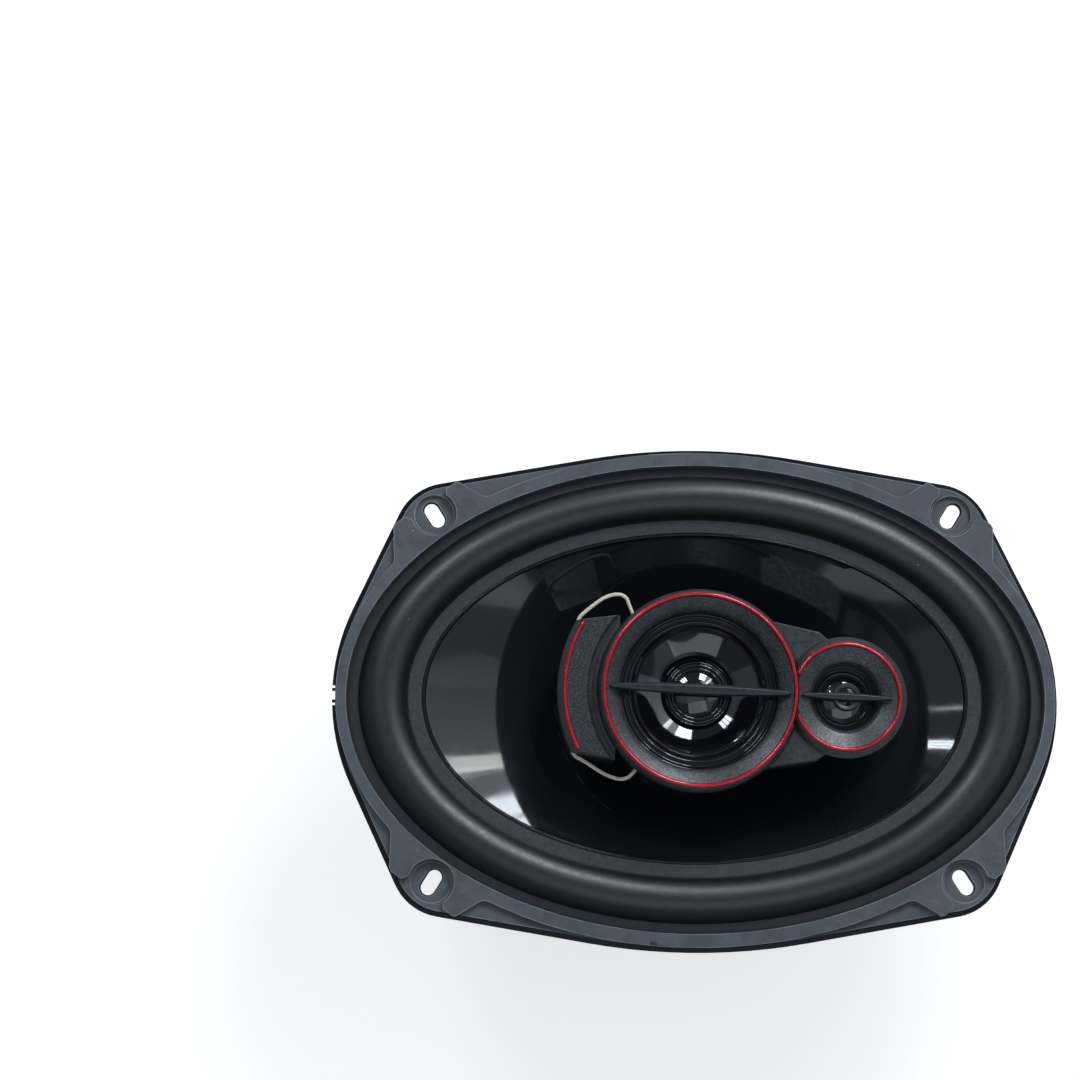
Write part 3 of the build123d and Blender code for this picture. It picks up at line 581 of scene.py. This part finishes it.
def cone():
    """One skin from the neck to the rim, with a bead round its face beside the surround's inner lip."""
    rows, skin = 40, 0.9
    bow = 1.3                        # how far the wall rises above a straight one
    bead_half, bead_top = 0.35, CONE_RIM_Z + 0.55
    foot, foot_z = grown(CONE_RIM, -0.8), CONE_RIM_Z - 0.35
    back_out = (0.4, 0.5)            # how far the back of the wall stands outside its face
    face = rounded([(*grown(CONE_RIM, bead_half), CONE_RIM_Z), (*grown(CONE_RIM, bead_half - 0.05), bead_top),
                    (*grown(CONE_RIM, -bead_half), bead_top), (*foot, foot_z)], 0.2, closed=False)
    back = []
    for k in range(rows + 1):
        t = k / rows
        a, b = (half + (NECK_R - half) * t for half in foot)
        z = foot_z + (NECK_Z - foot_z) * t + bow * math.sin(math.pi * t)
        if k:
            face.append((a, b, z))
        back.append((a + back_out[0], b + back_out[1], z - skin))
    inner, outer, neck_foot = (FORMER_OUT_R,) * 2, (FORMER_OUT_R + skin,) * 2, NECK_Z - 2.2
    neck = [(*inner, NECK_Z + 0.4), (*inner, neck_foot), (*outer, neck_foot)]
    edge = grown(ROLL_INNER, -0.2)
    rim = [(*edge, CONE_RIM_Z - skin), (*edge, CONE_RIM_Z)]
    section = face + neck + back[::-1] + rim
    piece("cone_shell", swept(section, segments=OVAL_SEGMENTS), "cone_gloss", "woofer_moving", ("cone",))


def spider():
    """Corrugated cloth disc from the voice coil's former out to its rim, which is held down."""
    line = [(FORMER_OUT_R, SPIDER_Z)]
    steps = SPIDER_WAVES * 16
    first, last = SPIDER_WAVES_R
    for k in range(steps + 1):
        share = k / steps
        height = SPIDER_WAVE_HEIGHT * math.sin(2 * math.pi * SPIDER_WAVES * share)
        line.append((first + (last - first) * share, SPIDER_Z + height))
    line.append((SPIDER_R, SPIDER_Z))
    disc = piece("spider_cloth", turned(skin_of(line, SPIDER_THICK)), "spider_cloth", stands_for=("spider",),
                 sharp=60.0)
    stretched(disc, between_radii(SPIDER_HELD_R, FORMER_OUT_R))


# ---------------------------------------------------------------- module
def bead(name, radii, top, half_deg, stands_for, at=(0.0, 0.0), facing_deg=180.0):
    """A half round red bead along an arc, or all the way round where half_deg is 180."""
    steps, depth, gap = 220, 1.1, 0.03
    middle, half = sum(radii) / 2, (radii[1] - radii[0]) / 2 - gap
    crest = [(half * math.cos(t), half * math.sin(t) - half) for t in (math.pi * k / 14 for k in range(15))]
    outline = [(half, -depth)] + crest + [(-half, -depth)]
    whole = half_deg >= 180.0
    span = math.radians(2 * half_deg)
    rows = []
    for i in range(steps if whole else steps + 1):
        share = i / steps
        turn = math.radians(facing_deg) + (share - 0.5) * span
        # an arc's section shrinks to a round end over its last half width
        left = min(share, 1 - share) * span * middle
        size = 1.0 if whole else math.sqrt(max(0.02, 1 - max(0.0, 1 - left / half) ** 2))
        row = []
        for across, up in outline:
            r = middle + across * size
            row.append((at[0] + r * math.cos(turn), at[1] + r * math.sin(turn), top + up * size))
        rows.append(row)
    piece(name, mesh_of(*skinned(rows, looped=whole)), "red_metallic", "chassis", stands_for, module=True,
          sharp=60.0)


def bar(name, size, at, top, stands_for):
    """A lens-shaped bar with a broad chamfer along its +Y edge and a small one along the other."""
    length, width, end = size
    steps, depth = 64, 2.2
    tip = 0.035                      # share of the half length that is rounded off at each end
    rows = []
    for i in range(steps + 1):
        along = 2 * i / steps - 1
        half = (end + (width - end) * (1 - along * along)) / 2
        half *= math.sqrt(max(0.05, 1 - max(0.0, (abs(along) - 1 + tip) / tip) ** 2))
        section = [(-half, top - depth), (-half, top - 0.55), (-half * 0.72, top - 0.12), (half * 0.45, top),
                   (half, top - 0.75), (half, top - depth)]
        section = rounded(section, {1: 0.3, 2: 0.4, 3: 0.2, 4: 0.15})
        rows.append([(at[0] + along * length / 2, at[1] + y, z) for y, z in section])
    piece(name, mesh_of(*skinned(rows)), "bar_plastic", "chassis", stands_for, module=True, sharp=50.0)


def bezel(node, centre, trim_r):
    """A bezel's finished copy, whose faces outside its trim ring have the housing's look."""
    obj = softened(node, 0.25)
    obj.data.materials.append(LOOKS["housing_plastic"])
    axis = MODULE_TURN @ Vector((*centre, 0.0)) * MM
    edge = sum(trim_r) / 2 * MM
    for face in obj.data.polygons:
        face.material_index = int(math.hypot(face.center.x - axis.x, face.center.y - axis.y) > edge)


def tweeter_ring():
    """The small ring that the tweeter's bar carries in front of the dome."""
    inner, outer, top = 2.8, 4.6, TWEETER_TOP - 1.0
    section = rounded([(inner, top - 1.6), (outer - 0.2, top - 2.0), (outer, top - 1.6),
                       (outer - 0.1, top - 0.4), (outer - 0.5, top), (inner + 0.3, top - 0.25),
                       (inner, top - 0.6)], 0.15)
    piece("tweeter_front_ring", turned(section, at=TWEETER_AT), "bar_plastic", "chassis", ("tweeter_bar",),
          module=True)


def module_face():
    softened("wing_cover", 0.2)
    softened("module_housing", 0.25)
    bezel("mid_bezel", (0.0, 0.0), MID_TRIM_R)
    bezel("tweeter_bezel", TWEETER_AT, TWEETER_TRIM_R)
    bead("mid_red_ring", MID_TRIM_R, MID_TOP + TRIM_PROUD, 180.0, ("mid_trim_ring",))
    bead("tweeter_red_ring", TWEETER_TRIM_R, TWEETER_TOP + TRIM_PROUD, TWEETER_TRIM_HALF_DEG,
         ("tweeter_trim_ring",), at=TWEETER_AT, facing_deg=0.0)
    bead("wing_red_arc", WING_TRIM_R, WING_TOP, WING_TRIM_HALF_DEG, ("wing_trim",))
    bar("mid_cross_bar", MID_BAR, (0.0, 0.0), MID_TOP + BAR_PROUD, ("mid_bar",))
    bar("tweeter_cross_bar", TWEETER_BAR, TWEETER_AT, TWEETER_TOP + BAR_PROUD, ("tweeter_bar",))
    tweeter_ring()


# ---------------------------------------------------------------- small drivers
def skin_of(line, thick):
    """A closed profile: a line and the same line a thickness lower."""
    return line + [(r, z - thick) for r, z in reversed(line)]


def half_rounds(ridges, start, end, z):
    """A flat ring's line with half round ridges: each (radius, half width, height)."""
    steps = 8
    line = [(start, z)]
    for middle, half, height in ridges:
        for k in range(steps + 1):
            turn = math.pi * k / steps
            line.append((middle - half * math.cos(turn), z + height * math.sin(turn)))
    return line + [(end, z)]


def dome_line(r_base, height, z):
    """From the pole down to the rim of a spherical cap."""
    steps = 20
    big = (r_base**2 + height**2) / (2 * height)
    widest = math.asin(r_base / big)
    return [(big * math.sin(widest * k / steps), z + height - big + big * math.cos(widest * k / steps))
            for k in range(steps + 1)]


def midrange():
    film, cone_skin, cap_skin = 0.18, 0.4, 0.3
    ridges = [(22.4, 0.45, 0.75), (23.95, 0.38, 0.6), (24.85, 0.35, 0.55)]
    line = half_rounds(ridges, 21.7, 26.5, MID_SURROUND_Z + 0.2)
    ring = piece("mid_surround_film", turned(skin_of(line, film), segments=192), "mid_surround_film",
                 stands_for=("mid_surround",), module=True, sharp=60.0)
    stretched(ring, between_radii(26.0, 21.8))
    face = rounded([(9.8, 87.4), (10.5, 87.5), (20.3, 92.0), (21.8, 94.2), (21.6, 94.6)],
                   {1: 0.3, 2: 0.9, 3: 0.3}, closed=False)
    piece("mid_cone_shell", turned(skin_of(face, cone_skin)), "mid_cone_gloss", "midrange_moving",
          ("mid_cone",), module=True)
    cap = dome_line(7.5, 2.0, MID_CAP_Z)
    collar_ridges = [(8.1, 0.35, 0.45), (9.3, 0.5, 0.7), (10.15, 0.25, 0.3)]
    collar = half_rounds(collar_ridges, 7.6, 10.45, MID_CAP_Z - 0.3)
    piece("mid_dome_cap", turned(skin_of(cap + collar, cap_skin)), "mid_cone_gloss", "midrange_moving",
          ("mid_dome",), module=True, sharp=50.0)


def tweeter():
    film, dome_skin = 0.15, 0.2
    z = TWEETER_FRAME_Z + 0.2
    ridge = half_rounds([(8.35, 0.65, 0.5), (9.55, 0.3, 0.35)], TWEETER_DOME_R, 11.2, z)
    ring = piece("tweeter_surround_film", turned(skin_of(ridge, film), at=TWEETER_AT, segments=160),
                 "mid_surround_film", stands_for=("tweeter_surround",), module=True, sharp=60.0)
    centre = MODULE_TURN @ Vector((*TWEETER_AT, 0.0))
    stretched(ring, between_radii(10.6, 7.6, centre))
    dome = skin_of(dome_line(TWEETER_DOME_R, 1.8, z + 0.3), dome_skin)
    piece("tweeter_dome_cap", turned(dome, at=TWEETER_AT), "tweeter_dome_film", "tweeter_moving",
          ("tweeter_dome",), module=True, sharp=50.0)


# ---------------------------------------------------------------- lead wires
def smooth_line(name, points):
    """Points along the NURBS spline whose control points are the route's."""
    curve = bpy.data.curves.new(name, "CURVE")
    curve.dimensions = "3D"
    curve.resolution_u = 40
    spline = curve.splines.new("NURBS")
    spline.points.add(len(points) - 1)
    for point, place in zip(spline.points, points):
        point.co = (*(MODULE_TURN @ Vector(place)), 1.0)
    spline.order_u = 3
    spline.use_endpoint_u = True
    holder = bpy.data.objects.new(name, curve)
    line = bpy.data.meshes.new_from_object(holder)
    places = [v.co.copy() for v in line.vertices]
    bpy.data.objects.remove(holder)
    bpy.data.curves.remove(curve)
    bpy.data.meshes.remove(line)
    return places


def along_line(places):
    """Each place with two directions across the line there and the length so far."""
    side = Vector((0, 0, 1))
    gone = 0.0
    frames = []
    for i, here in enumerate(places):
        ahead = (places[min(i + 1, len(places) - 1)] - places[max(i - 1, 0)]).normalized()
        side = (side - ahead * side.dot(ahead)).normalized()
        if i:
            gone += (here - places[i - 1]).length
        frames.append((here, side.copy(), ahead.cross(side), gone))
    return frames


def round_point(middle, u, v, turn, radius):
    """A point of a circle that lies across the directions u and v."""
    return middle + (u * math.cos(turn) + v * math.sin(turn)) * radius


def twisted(places):
    """Strands laid round a line, each a round tube."""
    strands, lay, sides = 5, 0.0036, 10
    strand_r = LEAD_DIAMETER * 0.21
    orbit = LEAD_DIAMETER * 0.34
    frames = along_line(places)
    verts, faces = [], []
    for strand in range(strands):
        rows = []
        for here, u, v, run in frames:
            middle = round_point(here, u, v, 2 * math.pi * (strand / strands + run / lay), orbit)
            turns = (2 * math.pi * k / sides for k in range(sides))
            rows.append([round_point(middle, u, v, turn, strand_r) / MM for turn in turns])
        start = len(verts)
        strand_verts, strand_faces = skinned(rows)
        verts += strand_verts
        faces += [tuple(start + k for k in face) for face in strand_faces]
    return mesh_of(verts, faces, weld=1e-9)


def lead_wires():
    for name, route in LEADS.items():
        places = smooth_line("route_" + name, route)
        obj = piece("lead_" + name, twisted(places), "lead_braid", "chassis", ("lead_wire_" + name,))


# ---------------------------------------------------------------- floor and lights
COOL = (0.82, 0.90, 1.0)
FACE_Z = 0.085                       # height that the lights are turned about, in metres


def floor():
    mesh = bpy.data.meshes.new("floor")
    reach = 3.0
    mesh.from_pydata([(-reach, -reach, 0), (reach, -reach, 0), (reach, reach, 0), (-reach, reach, 0)], [],
                     [(0, 1, 2, 3)])
    material = bpy.data.materials.new("floor")
    material.use_nodes = True
    shader = material.node_tree.nodes["Principled BSDF"]
    shader.inputs["Base Color"].default_value = (0.7, 0.7, 0.7, 1.0)
    shader.inputs["Roughness"].default_value = 0.8
    shader.inputs["Emission Color"].default_value = (1.0, 1.0, 1.0, 1.0)
    shader.inputs["Emission Strength"].default_value = 0.65
    mesh.materials.append(material)
    obj = bpy.data.objects.new("floor", mesh)
    obj.location.z = cad_box[0][2] - 0.0002      # just clear of the motor's back face
    bpy.context.scene.collection.objects.link(obj)


def panel(name, azimuth, elevation, width, height, radiance, reach=1.25, color=COOL, fade=None):
    """A rectangular light, reach metres from the speaker's face. Its place and size are in degrees.

    fade is its strength at the far and near ends of its width, as shares of radiance.
    """
    data = bpy.data.lights.new(name, "AREA")
    data.shape = "RECTANGLE"
    data.size = 2 * reach * math.tan(math.radians(width) / 2)
    data.size_y = 2 * reach * math.tan(math.radians(height) / 2)
    data.energy = radiance * math.pi * data.size * data.size_y
    data.color = color
    if fade:
        data.use_nodes = True
        tree = data.node_tree
        place = tree.nodes.new("ShaderNodeNewGeometry").outputs["Parametric"]
        along = tree.nodes.new("ShaderNodeSeparateXYZ")
        tree.links.new(place, along.inputs[0])
        ramp = tree.nodes.new("ShaderNodeMapRange")
        tree.links.new(along.outputs[0], ramp.inputs[0])
        ramp.inputs[3].default_value, ramp.inputs[4].default_value = fade
        tree.links.new(ramp.outputs[0], tree.nodes["Emission"].inputs["Strength"])
    middle = Vector((0.0, 0.0, FACE_Z))
    turn, rise = math.radians(azimuth), math.radians(elevation)
    way = Vector((math.cos(turn) * math.cos(rise), math.sin(turn) * math.cos(rise), math.sin(rise)))
    light = bpy.data.objects.new(name, data)
    light.visible_camera = False
    aimed(light, middle + way * reach, middle, (0, 0, 1))


def studio():
    """Panels named for what they look like in the gloss: windows, tubes, and the haze of pale walls."""
    for number in range(3):
        panel(f"window_behind_{number}", 62 + 6 * number, 38, 4.5, 18, 17.0)
        panel(f"window_left_{number}", 119 + 6 * number, 41, 3.5, 13, 15.0)
    panel("low_behind", 85, 13, 80, 12, 0.4)
    panel("haze_side", -28, 52, 36, 24, 0.25)
    panel("haze_right", 20, 48, 46, 26, 1.3, fade=(0.25, 1.1))
    panel("tube_right", 47, 40, 4.5, 24, 7.5, reach=1.2, color=(1.0, 1.0, 0.97))
    panel("haze_far_right", 58, 42, 14, 24, 2.0, reach=1.3)
    panel("haze_left", 165, 60, 50, 30, 0.2)
    for number in range(3):
        panel(f"tube_left_{number + 1}", 130 + 1.5 * number, 56.7 + 0.6 * number, 0.35, 4.0, 45.0, reach=1.2)
    panel("tube_far_left", 155, 65, 0.35, 4.0, 20.0, reach=1.2)
    panel("fill_front", -80, 60, 44, 28, 0.9)
    panel("ceiling", -90, 80, 40, 16, 0.35)
    world = bpy.data.worlds.new("world")
    world.use_nodes = True
    sky = world.node_tree.nodes["Background"]
    sky.inputs["Color"].default_value = (*COOL, 1.0)
    # pale behind the floor, where it is seen, and dim as a light
    rays = world.node_tree.nodes.new("ShaderNodeLightPath")
    level = world.node_tree.nodes.new("ShaderNodeMapRange")
    world.node_tree.links.new(rays.outputs["Is Camera Ray"], level.inputs[0])
    level.inputs[3].default_value, level.inputs[4].default_value = 0.13, 0.95
    world.node_tree.links.new(level.outputs[0], sky.inputs["Strength"])
    bpy.context.scene.world = world
    bpy.context.scene.view_settings.view_transform = "Standard"


# ---------------------------------------------------------------- build
def cad_looks():
    """Gives every CAD node its slot's look."""
    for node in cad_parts.values():
        slot = node.data.materials[0].name
        for holder in node.material_slots:
            holder.material = LOOKS[slot]


add_camera()
make_looks()
lead_wires()
surround()
cone()
spider()
softened("front_gasket", 0.25)
softened("basket", 0.22)
module_face()
midrange()
tweeter()
cad_looks()
floor()
studio()
